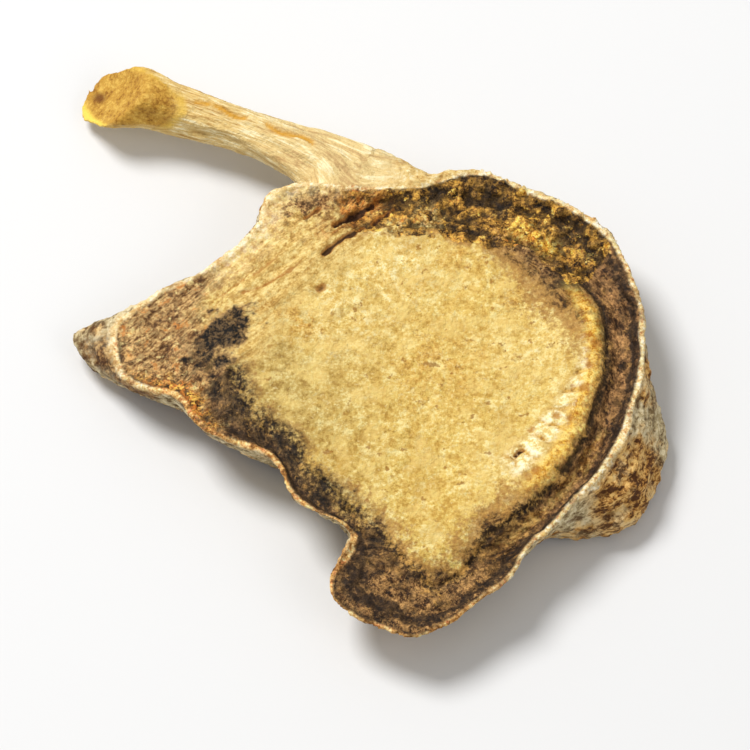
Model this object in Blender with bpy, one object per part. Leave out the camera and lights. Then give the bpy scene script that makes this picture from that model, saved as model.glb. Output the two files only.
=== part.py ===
"""A dried slice of notoginseng root, lying on its lower cut face.

It is one grown piece: the slice of the main root, with its pale core, its shrunken cortex and its bark,
and the stub of the one side root that leaves its back edge. The origin is the root's centre on the lower
cut face, +Z points up and -Y is the side that a viewer sees first.
"""

import math

import bmesh
import bpy
import numpy as np
from mathutils import Vector, noise
from mathutils.geometry import interpolate_bezier

MM = 0.001

# The slice: its thickness at the root's centre, and the outline of its upper cut face in millimetres,
# anticlockwise from the right: back edge, cut corner, blunt tail, notch, front lobe and right side.
THICKNESS = 4.5 * MM
UPPER_OUTLINE_MM = (
    (13.8, 0.6), (13.9, 2.9), (13.8, 5.4), (13.1, 8.0), (11.6, 10.6), (9.6, 12.3), (6.9, 13.6),
    (5.0, 14.7), (3.1, 14.7), (0.4, 13.9), (-3.3, 13.7), (-6.4, 13.8), (-8.6, 13.3), (-9.3, 11.0),
    (-11.2, 9.2), (-13.0, 8.1), (-15.2, 7.0), (-17.5, 5.2), (-18.0, 3.6), (-17.5, 1.5), (-16.2, 0.3),
    (-14.2, -0.4), (-13.5, -1.6), (-12.3, -3.2), (-10.6, -4.0), (-9.1, -4.5), (-8.1, -5.8),
    (-7.4, -7.5), (-6.1, -8.8), (-4.6, -9.5), (-3.6, -10.4), (-4.2, -11.8), (-5.0, -12.9),
    (-4.9, -14.4), (-3.5, -15.6), (-1.8, -16.3), (0.3, -16.9), (2.2, -15.9), (3.6, -14.8),
    (5.6, -13.2), (6.9, -11.1), (8.9, -9.0), (11.1, -6.2), (12.4, -3.9), (13.1, -1.7),
)

# What changes around the slice, as (direction in degrees anticlockwise from +X, size in millimetres).
CORE_RADIUS_MM = (
    (-173, 9.6), (-153, 7.9), (-123, 8.5), (-103, 9.8), (-91, 11.5), (-80, 12.0), (-66, 10.9),
    (-44, 10.6), (-9, 10.7), (8, 11.5), (25, 12.2), (42, 11.9), (60, 11.3), (75, 10.6), (100, 10.8),
    (118, 11.4), (133, 12.8), (148, 12.8), (160, 11.7), (171, 10.5),
)
LOWER_RIM_RADIUS_MM = (
    (-177, 12.4), (-167, 10.6), (-155, 8.8), (-142, 8.1), (-125, 8.3), (-113, 9.3), (-106, 11.6),
    (-98, 13.4), (-88, 14.2), (-80, 13.8), (-72, 12.6), (-62, 11.6), (-53, 11.1), (-46, 11.7),
    (-40, 13.1), (-34, 14.3), (-26, 15.1), (-16, 15.2), (-9, 15.0), (0, 14.4), (12, 13.7), (29, 14.2),
    (43, 14.7), (58, 14.6), (75, 14.3), (95, 13.9), (115, 14.0), (130, 13.3), (143, 13.4), (153, 15.2),
    (160, 18.6), (166, 21.2), (172, 19.4), (178, 14.8),
)
LOWER_RIM_HEIGHT_MM = (
    (-172, 0.9), (-130, 0.7), (-88, 0.9), (-40, 0.6), (-20, 0.5), (40, 0.6), (90, 0.7), (140, 0.8),
    (168, 1.4),
)
CORE_LIP_MM = (
    (-160, 0.1), (-90, 0.15), (-60, 0.3), (-38, 0.6), (-10, 0.5), (25, 0.3), (60, 0.1), (150, 0.0),
)
GROOVE_DEPTH_MM = (
    (-160, 0.2), (-90, 0.25), (-40, 0.5), (0, 0.5), (50, 0.45), (95, 0.3), (135, 0.0), (160, 0.1),
)
FLANK_BULGE_MM = (
    (-175, 0.3), (-150, -0.3), (-100, -0.4), (-60, -0.1), (-30, 0.5), (20, 0.2), (90, 0.5), (150, 0.4),
)

# How the upper face leaves the level: towards a direction, from and to a distance, its change of height.
FACE_SLOPES_MM = (
    (172, 8.0, 19.0, -1.1),
    (-93, 8.0, 17.5, -0.7),
    (95, 5.0, 15.0, 0.35),
    (-35, 6.0, 14.0, -0.25),
)

DOME_HEIGHT = 0.25 * MM
DOME_RADIUS = 12.0 * MM
RIM_LIP = 0.22 * MM
LOWER_FLAT_SHARE = 0.74
LOWER_GROOVE = 0.25 * MM

# Scars and stubs of fine roots on the bark: direction in degrees, level from 0 at the upper rim to 1 at
# the lower one, reach in millimetres, half width in degrees and half height as a share of the flank.
BARK_LUMPS = (
    (-31, 0.72, 0.6, 8, 0.22),
    (-9, 0.78, 0.4, 6, 0.20),
    (36, 0.70, 0.5, 6, 0.22),
    (60, 0.60, 0.6, 6, 0.22),
    (84, 0.36, 0.8, 6, 0.22),
    (128, 0.60, 0.6, 6, 0.25),
    (150, 0.65, 0.5, 5, 0.25),
    (-160, 0.70, 0.4, 6, 0.25),
    (-92, 0.70, 0.5, 8, 0.25),
)

# The mesh: points around the rim, and the loops from the centre of the upper face to that of the lower.
SEGMENTS = 140
SPOKE_SMOOTHING = 17
CORE_SHARES = (0.18, 0.34, 0.49, 0.63, 0.75, 0.85, 0.93, 1.0)
CORTEX_SHARES = (0.18, 0.38, 0.60, 0.82, 1.0)
FLANK_SHARES = (0.10, 0.24, 0.38, 0.52, 0.66, 0.80, 0.92, 1.0)
LOWER_SHARES = (0.96, 0.91, 0.86, 0.80, LOWER_FLAT_SHARE, 0.70, 0.46, 0.22)

# The side root: its centre line in millimetres, from inside the back edge to its cut tip, with its half
# width and half height there, the patch of bark that it grows from, and its slanting, hollow cut.
SIDE_ROOT_MM = (
    (-2.8, 13.9, 3.1, 3.6, 1.7),
    (-5.3, 16.0, 3.1, 2.0, 1.5),
    (-8.5, 17.8, 3.0, 1.4, 1.3),
    (-11.8, 19.3, 2.8, 1.25, 1.25),
    (-15.0, 20.5, 2.6, 1.6, 1.5),
    (-17.8, 21.1, 2.6, 2.1, 1.9),
)
SIDE_ROOT_STEPS = 16
SIDE_ROOT_FLARE_STEPS = 4
SIDE_ROOT_HALF_SEGMENTS = 5
SIDE_ROOT_ROWS = (1, 7)
SIDE_ROOT_CUT_SLANT = 2.0 * MM
SIDE_ROOT_CUT_STEPS = 5
SIDE_ROOT_CUT_DISH = 0.5 * MM
SIDE_ROOT_FURROWS = 5
SIDE_ROOT_FURROW_DEPTH = 0.10
SIDE_ROOT_TWIST = 0.08

# Unevenness left by drying: the size of its bumps and how high they stand.
RIPPLE = (2.1 * MM, 0.16 * MM)
BARK_WRINKLE = (1.7 * MM, 0.28 * MM)
FACE_WAVE = (6.0 * MM, 0.22 * MM)
CORTEX_WRINKLE = (1.5 * MM, 0.14 * MM)
SEED = Vector((3.7, 11.2, 5.9))

BARK_COLOUR = (0.47, 0.29, 0.11, 1.0)
BARK_ROUGHNESS = 0.85


def clear_scene():
    for obj in list(bpy.data.objects):
        bpy.data.objects.remove(obj)


def around(keys, angle):
    """The size in metres that keys of (degrees, millimetres) give at an angle in radians."""
    degrees, sizes = zip(*keys)
    return float(np.interp(math.degrees(angle), degrees, sizes, period=360)) * MM


def rise(value, low, high):
    """0 below low, 1 above high, and a smooth step between them."""
    share = min(1.0, max(0.0, (value - low) / (high - low)))
    return share * share * (3 - 2 * share)


def hump(value, centre, half_width):
    return math.exp(-(((value - centre) / half_width) ** 2))


def uneven(point, size_and_height, layers=2):
    """A smooth random height, the same on every run."""
    size, height = size_and_height
    return height * noise.fractal(point / size + SEED, 0.9, 2.1, layers)


def heading(angle):
    return Vector((math.cos(angle), math.sin(angle), 0.0))


def smooth_path(knots, closed):
    """Close points along a smooth curve through the knots."""
    last = len(knots) - 1
    fine = []
    for i in range(len(knots) if closed else last):
        knot, after = knots[i], knots[(i + 1) % len(knots)]
        before = knots[i - 1] if closed or i else knot
        beyond = knots[(i + 2) % len(knots)] if closed or i + 1 < last else after
        handles = knot + (after - before) / 6, after - (beyond - knot) / 6
        fine += interpolate_bezier(knot, *handles, after, 16)[:-1]
    return fine + [knots[0] if closed else knots[-1]]


def spaced(path, count):
    """count points along the path, evenly spaced by its length, ends included."""
    table = np.array([tuple(point) for point in path])
    steps = np.linalg.norm(np.diff(table, axis=0), axis=1)
    travelled = np.concatenate([[0.0], np.cumsum(steps)])
    wanted = np.linspace(0.0, travelled[-1], count)
    columns = [np.interp(wanted, travelled, column) for column in table.T]
    return [Vector(point) for point in zip(*columns)]


def rim_points():
    """Points on the rim of the upper cut face, seen from above, one for each segment."""
    knots = [Vector((x, y, 0.0)) * MM for x, y in UPPER_OUTLINE_MM]
    points = spaced(smooth_path(knots, closed=True), SEGMENTS + 1)[:-1]
    return [point * (1 + uneven(point, RIPPLE) / point.length) for point in points]


def make_spokes():
    """One (angle, rim point) for each segment. The angles are evened out, so inner loops never cross."""
    rim = rim_points()
    even = np.linspace(0.0, math.tau, SEGMENTS, endpoint=False)
    turned = np.unwrap([math.atan2(point.y, point.x) for point in rim]) - even
    half = SPOKE_SMOOTHING // 2
    window = np.hanning(SPOKE_SMOOTHING + 2)[1:-1]
    padded = np.concatenate([turned[-half:], turned, turned[:half]])
    angles = even + np.convolve(padded, window / window.sum(), "valid")
    return list(zip(angles, rim))


def face_height(point):
    """The level of the upper cut face, apart from its lip, groove and rim."""
    height = THICKNESS + DOME_HEIGHT * (1 - (point.length / DOME_RADIUS) ** 2)
    for direction, start, end, change in FACE_SLOPES_MM:
        distance = point.dot(heading(math.radians(direction)))
        height += change * MM * rise(distance, start * MM, end * MM)
    return height + uneven(point, FACE_WAVE)


def core_point(spoke, share):
    """A point of the pale core on the upper face, at a share of the way from the centre to its edge."""
    angle = spoke[0]
    point = heading(angle) * around(CORE_RADIUS_MM, angle) * share
    lip = around(CORE_LIP_MM, angle) * rise(share, 0.62, 0.9)
    return Vector((point.x, point.y, face_height(point) + lip))


def cortex_point(spoke, share):
    """A point between the core's edge and the rim of the upper face."""
    angle, rim = spoke
    point = (heading(angle) * around(CORE_RADIUS_MM, angle)).lerp(rim, share)
    height = face_height(point) + around(CORE_LIP_MM, angle) * (1 - rise(share, 0.0, 0.35))
    height -= around(GROOVE_DEPTH_MM, angle) * hump(share, 0.42, 0.28)
    height += RIM_LIP * (rise(share, 0.6, 1.0) - 0.5) * rise(share, 0.0, 0.5)
    height += uneven(point, CORTEX_WRINKLE) * rise(share, 0.0, 0.3) * (1 - rise(share, 0.85, 1.0))
    return Vector((point.x, point.y, height))


def lower_rim(angle):
    point = heading(angle) * around(LOWER_RIM_RADIUS_MM, angle)
    point.z = around(LOWER_RIM_HEIGHT_MM, angle)
    return point


def flank_point(spoke, down):
    """A point of the bark, at the share down of the way from the upper rim to the lower one."""
    angle = spoke[0]
    upper, lower = cortex_point(spoke, 1.0), lower_rim(angle)
    point = upper.lerp(lower, rise(down, 0.0, 1.0))
    point.z = upper.z + (lower.z - upper.z) * down
    reach = around(FLANK_BULGE_MM, angle) * math.sin(math.pi * down)
    for direction, level, lump, half_width, half_height in BARK_LUMPS:
        turn = (math.degrees(angle) - direction + 180) % 360 - 180
        reach += lump * MM * hump(turn, 0, half_width) * hump(down, level, half_height)
    reach += uneven(point, BARK_WRINKLE) * math.sin(math.pi * down)
    return point + heading(angle) * reach


def lower_point(spoke, out):
    """A point of the lower cut face: flat in the middle, and clear of the table towards its rim."""
    rim = lower_rim(spoke[0])
    height = rise(out, LOWER_FLAT_SHARE, 1.0) * rim.z + LOWER_GROOVE * hump(out, 0.88, 0.06)
    if out <= LOWER_FLAT_SHARE:
        height = 0.0
    return Vector((rim.x * out, rim.y * out, height))


def make_rows(spokes):
    """The points of every loop, from the one around the upper centre to the one around the lower."""
    rows = [[core_point(spoke, share) for spoke in spokes] for share in CORE_SHARES]
    rows += [[cortex_point(spoke, share) for spoke in spokes] for share in CORTEX_SHARES]
    rows += [[flank_point(spoke, share) for spoke in spokes] for share in FLANK_SHARES]
    rows += [[lower_point(spoke, share) for spoke in spokes] for share in LOWER_SHARES]
    return rows


def extrude_slice(bm):
    """Draws a small circle outwards, down the bark and inwards again, and closes it below."""
    turn = bm.verts.layers.int.new("turn")
    row = bm.verts.layers.int.new("row")
    spokes = make_spokes()
    rows = make_rows(spokes)
    bmesh.ops.create_circle(bm, cap_ends=True, cap_tris=True, segments=SEGMENTS, radius=THICKNESS)
    edges = [edge for edge in bm.edges if edge.is_boundary]
    loop = {vert for edge in edges for vert in edge.verts}
    loop = sorted(loop, key=lambda vert: math.atan2(vert.co.y, vert.co.x) % math.tau)
    for vert in bm.verts:
        if not vert.is_boundary:
            vert.co = core_point(spokes[0], 0.0)
    for i, vert in enumerate(loop):
        vert[turn] = i
        vert.co = rows[0][i]
    for number, points in enumerate(rows[1:], start=1):
        made = bmesh.ops.extrude_edge_only(bm, edges=edges)["geom"]
        edges = [item for item in made if isinstance(item, bmesh.types.BMEdge)]
        for vert in (item for item in made if isinstance(item, bmesh.types.BMVert)):
            vert[row] = number
            vert.co = points[vert[turn]]
    floor = bmesh.ops.edgeloop_fill(bm, edges=edges)["faces"]
    bmesh.ops.poke(bm, faces=floor)
    return turn, row


def make_side_root_sections():
    """The centre, half width, half height and heading at every step along the side root."""
    knots = [Vector(knot[:3]) * MM for knot in SIDE_ROOT_MM]
    line = spaced(smooth_path(knots, closed=False), SIDE_ROOT_STEPS + 1)
    along = np.linspace(0, SIDE_ROOT_STEPS, len(SIDE_ROOT_MM))
    steps = np.arange(SIDE_ROOT_STEPS + 1)
    half_widths = np.interp(steps, along, [knot[3] for knot in SIDE_ROOT_MM]) * MM
    half_heights = np.interp(steps, along, [knot[4] for knot in SIDE_ROOT_MM]) * MM
    headings = []
    for k in steps:
        ahead = line[min(k + 1, SIDE_ROOT_STEPS)] - line[max(k - 1, 0)]
        headings.append(Vector((ahead.x, ahead.y, 0.0)).normalized())
    return list(zip(line, half_widths, half_heights, headings))


def side_root_point(k, section, u, v):
    """A point of section k, from its place in the square patch of bark: u across from -1 to 1, v down."""
    centre, half_width, half_height, ahead = section
    across = u * math.sqrt(1 - v * v / 2)
    down = v * math.sqrt(1 - u * u / 2)
    spoke = math.hypot(across, down)
    furrow = math.cos(SIDE_ROOT_FURROWS * (math.atan2(down, across) + SIDE_ROOT_TWIST * k))
    swell = 1 + SIDE_ROOT_FURROW_DEPTH * spoke * furrow
    side = Vector((-ahead.y, ahead.x, 0.0))
    point = centre + side * across * half_width * swell
    point.z -= down * half_height * swell
    cut = rise(k, SIDE_ROOT_STEPS - SIDE_ROOT_CUT_STEPS, SIDE_ROOT_STEPS)
    point += ahead * cut * SIDE_ROOT_CUT_SLANT * down
    if k == SIDE_ROOT_STEPS:
        point -= ahead * SIDE_ROOT_CUT_DISH * (1 - spoke ** 2)
    return point + side * across * spoke * uneven(point, RIPPLE)


def extrude_side_root(bm, turn, row):
    """Draws the side root out of a patch of the bark at the slice's back edge."""
    first_flank_row = len(CORE_SHARES) + len(CORTEX_SHARES) - 1
    top, bottom = (first_flank_row + r for r in SIDE_ROOT_ROWS)
    half_rows = (bottom - top) / 2
    sections = make_side_root_sections()
    start = sections[0][0].xy
    middle = min((v for v in bm.verts if v[row] == top), key=lambda v: (v.co.xy - start).length)[turn]
    low, high = middle - SIDE_ROOT_HALF_SEGMENTS, middle + SIDE_ROOT_HALF_SEGMENTS
    faces = [
        face
        for face in bm.faces
        if all(low <= v[turn] <= high and top <= v[row] <= bottom for v in face.verts)
    ]
    for k in range(1, SIDE_ROOT_STEPS + 1):
        made = bmesh.ops.extrude_face_region(bm, geom=faces)["geom"]
        bmesh.ops.delete(bm, geom=[face for face in faces if face.is_valid], context="FACES")
        faces = [item for item in made if isinstance(item, bmesh.types.BMFace)]
        grown = rise(k, 0, SIDE_ROOT_FLARE_STEPS)
        for vert in {vert for face in faces for vert in face.verts}:
            u = (vert[turn] - middle) / SIDE_ROOT_HALF_SEGMENTS
            v = (vert[row] - top) / half_rows - 1
            vert.co = vert.co.lerp(side_root_point(k, sections[k], u, v), grown)


def make_material():
    material = bpy.data.materials.new("dried_root")
    material.use_nodes = True
    shader = material.node_tree.nodes["Principled BSDF"]
    shader.inputs["Base Color"].default_value = BARK_COLOUR
    shader.inputs["Roughness"].default_value = BARK_ROUGHNESS
    shader.inputs["Metallic"].default_value = 0.0
    return material


def make_root_slice():
    bm = bmesh.new()
    turn, row = extrude_slice(bm)
    extrude_side_root(bm, turn, row)
    bmesh.ops.recalc_face_normals(bm, faces=bm.faces)
    mesh = bpy.data.meshes.new("root_slice")
    bm.to_mesh(mesh)
    bm.free()
    mesh.shade_smooth()
    mesh.set_sharp_from_angle(angle=math.radians(40))
    mesh.materials.append(make_material())
    root_slice = bpy.data.objects.new("root_slice", mesh)
    bpy.context.scene.collection.objects.link(root_slice)


clear_scene()
make_root_slice()
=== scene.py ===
import math
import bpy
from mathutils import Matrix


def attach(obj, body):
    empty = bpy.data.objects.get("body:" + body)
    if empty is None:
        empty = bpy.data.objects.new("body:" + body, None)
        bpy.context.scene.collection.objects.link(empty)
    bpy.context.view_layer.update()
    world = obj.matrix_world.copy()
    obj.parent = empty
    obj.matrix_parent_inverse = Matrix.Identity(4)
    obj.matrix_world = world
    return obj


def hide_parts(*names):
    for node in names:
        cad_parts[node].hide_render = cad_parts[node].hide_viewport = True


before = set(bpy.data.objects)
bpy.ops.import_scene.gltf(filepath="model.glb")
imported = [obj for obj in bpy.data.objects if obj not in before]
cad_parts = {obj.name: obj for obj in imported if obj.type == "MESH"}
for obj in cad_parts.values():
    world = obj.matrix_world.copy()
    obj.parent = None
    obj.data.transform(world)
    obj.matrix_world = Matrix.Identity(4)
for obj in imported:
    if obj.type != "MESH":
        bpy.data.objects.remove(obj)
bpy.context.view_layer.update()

from types import SimpleNamespace

import bmesh
import bpy
import numpy as np
from mathutils import Vector, noise
from mathutils.geometry import interpolate_bezier
from mathutils.kdtree import KDTree

toMillimetres = 1000.0

# Sizes here are in millimetres and directions in degrees anticlockwise from +X, as seen from above.
sliceShape = {
    "mergeDistance": 0.001,
    "gridSize": 0.152,
    "smoothing": 2,
    "creaseAngle": 40,
    "creaseShare": 0.8,
    "tipSmoothing": 8,
    "tipCorner": (-16.0, 17.0),  # the tip is left of this X and behind this Y
    "ripple": (2.1, 0.16),  # size and height of the rim's waviness
    "rippleSeed": (3.7, 11.2, 5.9),
    "rimPoints": 140,
    "rimSearch": 0.15,
    "outline": (
        (13.8, 0.6), (13.9, 2.9), (13.8, 5.4), (13.1, 8.0), (11.6, 10.6), (9.6, 12.3), (6.9, 13.6),
        (5.0, 14.7), (3.1, 14.7), (0.4, 13.9), (-3.3, 13.7), (-6.4, 13.8), (-8.6, 13.3), (-9.3, 11.0),
        (-11.2, 9.2), (-13.0, 8.1), (-15.2, 7.0), (-17.5, 5.2), (-18.0, 3.6), (-17.5, 1.5), (-16.2, 0.3),
        (-14.2, -0.4), (-13.5, -1.6), (-12.3, -3.2), (-10.6, -4.0), (-9.1, -4.5), (-8.1, -5.8),
        (-7.4, -7.5), (-6.1, -8.8), (-4.6, -9.5), (-3.6, -10.4), (-4.2, -11.8), (-5.0, -12.9),
        (-4.9, -14.4), (-3.5, -15.6), (-1.8, -16.3), (0.3, -16.9), (2.2, -15.9), (3.6, -14.8),
        (5.6, -13.2), (6.9, -11.1), (8.9, -9.0), (11.1, -6.2), (12.4, -3.9), (13.1, -1.7),
    ),
    # Radius of the core, and how far the dark stain creeps into it, by direction.
    "coreRadius": (
        (-173, 9.6), (-153, 7.9), (-123, 8.5), (-103, 9.8), (-93, 11.4), (-85, 13.2), (-77, 12.6),
        (-66, 10.9), (-44, 10.6), (-9, 10.7), (8, 11.5), (25, 12.2), (42, 11.9), (60, 11.3), (75, 10.6),
        (100, 10.8), (118, 11.4), (133, 12.8), (148, 12.8), (160, 11.7), (171, 10.5),
    ),
    "stainInset": ((-60, 0.3), (-10, 0.0), (8, 0.4), (22, 1.4), (38, 2.2), (55, 1.2), (75, 0.3), (110, 0.0)),
}

# Where the surface counts as a cut face: its upward or downward tilt and its height.
cutFace = {
    "upperTilt": (0.12, 0.42),
    "upperHeight": (2.0, 2.4),
    "lowerTilt": (0.45, 0.8),
    "lowerHeight": (1.2, 1.9),
    "lowerMargin": 1.0,
    "lowerCore": (0.96, 0.84),  # the most of the upper core's radius and of the lower face's reach
    "sectors": 90,
    "thinnestRing": 0.05,
}

# Regions of the surface by direction: from, to and the width of the soft ends. Then their other limits.
regions = {
    "streak": (112, 166, 7),
    "crumb": (42, 106, 7),
    "gold": (-40, 26, 14),
    "shade": (172, 252, 14),
    "front": (248, 312, 12),
    "groove": (298, 344, 10),
    "stained": (12, 56, 12),
    "rightFront": (315, 360, 14),
    "rightBack": (0, 45, 10),
    "knob": (-34, -17, 5),
    "streakRadius": (8.0, 10.5),
    "crumbReach": (-1.1, 0.4),
    "goldPlace": (0.65, 0.5),
    "shadeReach": (-1.8, 0.2),
    "rightReach": (-0.4, 0.3),
    "tailStart": (11.2, 13.4),
    "tailRim": (0.5, 1.9),
    "tailFront": (-2.2, 0.2),
    "lobeStart": (11.2, 13.0),
    "endLeft": (14.6, 16.4),
    "endFront": (-5.0, -3.6),
    "blotch": ((-11.5, 3.3), 50, 2.1, 1.0),
    "blotchEdge": (0.4, 2.2),
}

# The raised comb of short strokes inside the core's edge: radius of its middle and half width by direction.
comb = {
    "radius": ((-58, 8.2), (-43, 8.3), (-24, 8.6), (-7, 9.6), (6, 10.5), (18, 11.1), (30, 11.5)),
    "halfWidth": ((-58, 0.95), (-8, 0.9), (8, 0.55), (30, 0.4)),
    "spacing": 1.2,
    "spacingRadius": 8.7,
    "directions": (-42, 20, 8),
    "lipEdge": (0.15, 0.75),
    "strokeEdge": (0.02, 0.22),
}

# Dark fissures in the cut face: points along each, half width and depth.
fissures = (
    (((-2.4, 12.5), (-3.4, 11.9), (-4.6, 11.0)), 0.20, 0.32),
    (((-3.0, 10.8), (-4.2, 9.9), (-5.3, 8.9)), 0.18, 0.30),
    (((-3.3, 11.5), (-4.7, 10.4)), 0.12, 0.24),
    (((-1.2, 12.2), (-2.4, 11.2)), 0.13, 0.26),
    (((-5.6, 12.2), (-6.4, 11.5)), 0.12, 0.20),
    (((6.1, -5.1), (6.4, -4.8)), 0.15, 0.28),
    (((-5.6, 6.5), (-5.4, 6.6)), 0.26, 0.22),
    (((-6.7, 8.3), (-7.7, 7.5), (-9.1, 6.8), (-10.3, 6.5)), 0.12, 0.12),
    (((-8.1, 8.7), (-9.6, 7.7)), 0.10, 0.09),
    (((-9.9, 7.7), (-11.6, 6.3)), 0.09, 0.08),
)
darkFissureDepth = 0.3

# Soft-edged spots on the upper cut face: X, Y and reach. Each name makes a share that the finish reads.
spots = {
    "pale": ((-4.6, 5.2, 3.4), (-1.0, 8.4, 2.8), (7.4, 2.6, 3.2), (5.6, -6.0, 1.8)),
    "stain": ((5.4, 9.9, 0.9), (6.6, 9.2, 0.9), (7.8, 7.9, 0.8)),
    "golden": ((6.5, 10.8, 0.6), (7.3, 10.3, 0.5), (8.1, 9.7, 0.6)),
    "warm": ((-3.9, 11.9, 1.1), (-2.6, 12.8, 0.9), (-5.3, 10.5, 0.7)),
    "cream": ((0.9, 11.6, 0.7), (-0.9, 10.9, 0.6)),
    "pit": (
        (8.6, -2.4, 0.34), (9.4, -2.7, 0.22), (10.2, -0.5, 0.32), (9.5, -0.4, 0.18), (10.6, 1.0, 0.28),
        (11.0, 2.5, 0.34), (7.1, -3.3, 0.26), (7.3, -6.2, 0.3),
    ),
    "dark": (
        (3.2, 11.2, 0.7), (4.1, 13.3, 0.9), (5.1, 12.3, 0.6), (9.2, 10.6, 0.8), (10.6, 9.3, 0.7),
        (1.6, 13.0, 0.6),
    ),
    "ochre": ((-8.4, 5.4, 1.5), (-6.3, 4.3, 1.1), (1.5, 1.0, 3.0), (3.0, 8.6, 1.4), (6.4, 6.0, 1.3)),
    "mauve": ((-5.2, 12.6, 1.5), (-7.2, 12.0, 1.0), (-3.2, 11.6, 1.0)),
}

# The side root: X, Y, Z, half width and half height along its middle. Reach is counted in half widths.
sideRoot = {
    "line": (
        (-2.8, 13.9, 3.1, 3.6, 1.7), (-5.3, 16.0, 3.1, 2.0, 1.5), (-8.5, 17.8, 3.0, 1.4, 1.3),
        (-11.8, 19.3, 2.8, 1.25, 1.25), (-15.0, 20.5, 2.6, 1.6, 1.5), (-17.8, 21.1, 2.6, 2.1, 1.9),
    ),
    "lineSteps": 40,
    "reach": (1.25, 1.6),
    "start": (3.0, 5.5),
    "bandStart": (3.3, 14.9, 3.9, 0.5, 0.6),
    "bandReach": (1.1, 1.5),
    "bandLength": (-0.5, 4.0, 1.2),
    "bandRim": (0.05, 0.45),
    "dashes": ((-12.9, -12.3), (-11.8, -10.1), (-8.7, -6.1)),
    "dashDirection": 97,
    "dashWidth": 7,
    "dashWave": (6, 2.1),
    "dashEnds": 0.35,
    "dashEdge": (0.25, 0.7),
    "cutSlant": 2.0,
    "cutDish": 0.5,
    "cutEdge": (-0.32, -0.12),
    "tipLean": 0.577,  # how far the tip's slanted plane moves in Y for each millimetre of height
    "tipOval": ((-16.8, 22.3), -18, 3.15, 2.35),
    "tipOvalEdge": (0.9, 1.04),
    "tipOvalHeight": (-0.1, 0.25),
    "tipSpot": (-18.5, 22.45),
    "tipSpotEdge": (0.15, 0.55),
    "tipStretch": (5.5, 0.6, 0.36),  # from this far before the end to this far past it, and how much
    "tipReach": 2.5,
}

# Height of the fine relief in each part of the surface. In a pair, the size of the grain comes first.
reliefShape = {
    "coreGrain": (0.50, 0.055),
    "coreWave": (1.7, 0.06),
    "coreSpokes": 0.04,
    "combHeight": 0.12,
    "combBed": 0.45,
    "goldHeight": 0.10,
    "pitDepth": 0.08,
    "ringWrinkle": 0.12,
    "ringGrain": (0.6, 0.09),
    "ringLines": ((0.10, 0.07, 0.20), (0.66, 0.07, 0.16)),
    "ringInStreak": 0.8,
    "fibreDirection": 41,
    "fibreSize": (4.5, 0.5, 2.0),
    "fibreHeight": 0.14,
    "crumbSize": 0.62,
    "crumbHeight": 0.34,
    "crumbGap": 0.35,
    "crumbBed": 0.45,
    "rimFray": (0.9, 0.08),
    "rimWidth": 0.5,
    "rimRadius": 14,
    "barkWrinkle": (2.2, 0.6, 0.20),  # size along the rim and upwards, then height
    "barkGrain": (0.45, 0.09),
    "knobDirections": (-32, -2, 8),
    "knobWrinkle": 0.16,
    "sideRootFurrow": 0.14,
    "dashDepth": 0.16,
    "tipWrinkle": (0.9, 0.035),
    "tipSpotDepth": 0.05,
    "aboveTop": 0.35,  # share of the relief that may stand above the solid's top
}


# Plain helpers for values over the surface.
def smoothStep(value, low, high):
    share = np.clip((value - low) / (high - low), 0.0, 1.0)
    return share * share * (3 - 2 * share)


def between(value, low, high, blend):
    return smoothStep(value, low - blend, low) * (1 - smoothStep(value, high, high + blend))


def acrossZero(directions, low, high, blend):
    return between((directions + 180) % 360, low + 180, high + 180, blend)


def hump(value, centre, halfWidth):
    return np.exp(-(((value - centre) / halfWidth) ** 2))


def aroundSlice(keys, directions):
    degrees, sizes = zip(*keys)
    return np.interp(directions, degrees, sizes, period=360)


def turnedPlace(places, degrees):
    turn = math.radians(degrees)
    x, y = places[:, 0], places[:, 1]
    return x * math.cos(turn) + y * math.sin(turn), y * math.cos(turn) - x * math.sin(turn)


def ovalReach(places, centre, degrees, halfLength, halfWidth):
    along, across = turnedPlace(places - np.array(centre), degrees)
    return np.hypot(along / halfLength, across / halfWidth)


# Noise over the surface: each use has a seed of its own, so that no two patterns are alike.
def fractal(places, layers=3, seed=0.0):
    return np.array([noise.fractal(place, 0.9, 2.1, layers) for place in (places + seed).tolist()])


def ragged(points, amount, size, seed, layers=3):
    return amount * fractal(points / size, layers, seed)


def grained(share, points, grain, layers, seed):
    size, height = grain
    return share * height * fractal(points / size, layers, seed)


def ridges(places, seed=0.0):
    return 1 - 2 * np.abs(np.array([noise.noise(place) for place in (places + seed).tolist()]))


# Lines in space and the nearest points on them.
def smoothSpan(before, knot, after, beyond, count):
    leaving, arriving = knot + (after - before) / 6, after - (beyond - knot) / 6
    return interpolate_bezier(knot, leaving, arriving, after, count)[:-1]


def distanceAlong(line):
    return np.concatenate([[0.0], np.cumsum(np.linalg.norm(np.diff(line, axis=0), axis=1))])


def searchTree(places):
    tree = KDTree(len(places))
    for i, place in enumerate(places):
        tree.insert(place, i)
    tree.balance()
    return tree


def nearestOnLine(points, line):
    tree = searchTree([(x, y, 0.0) for x, y in line[:, :2].tolist()])
    found = [tree.find((x, y, 0.0)) for x, y in points[:, :2].tolist()]
    return np.array([item[1] for item in found]), np.array([item[2] for item in found])


def insideLine(points, line):
    inside = np.zeros(len(points), dtype=bool)
    x, y = points[:, 0], points[:, 1]
    for (x0, y0, _), (x1, y1, _) in zip(line, np.roll(line, -1, axis=0)):
        crosses = (y0 > y) != (y1 > y)
        inside ^= crosses & (x < x0 + (y - y0) * (x1 - x0) / (y1 - y0 + 1e-12))
    return inside


def densified(line, times=10):
    steps = np.arange(len(line) * times) / times
    closed = np.vstack([line, line[:1]])
    return np.column_stack([np.interp(steps, np.arange(len(closed)), column) for column in closed.T])


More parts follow.
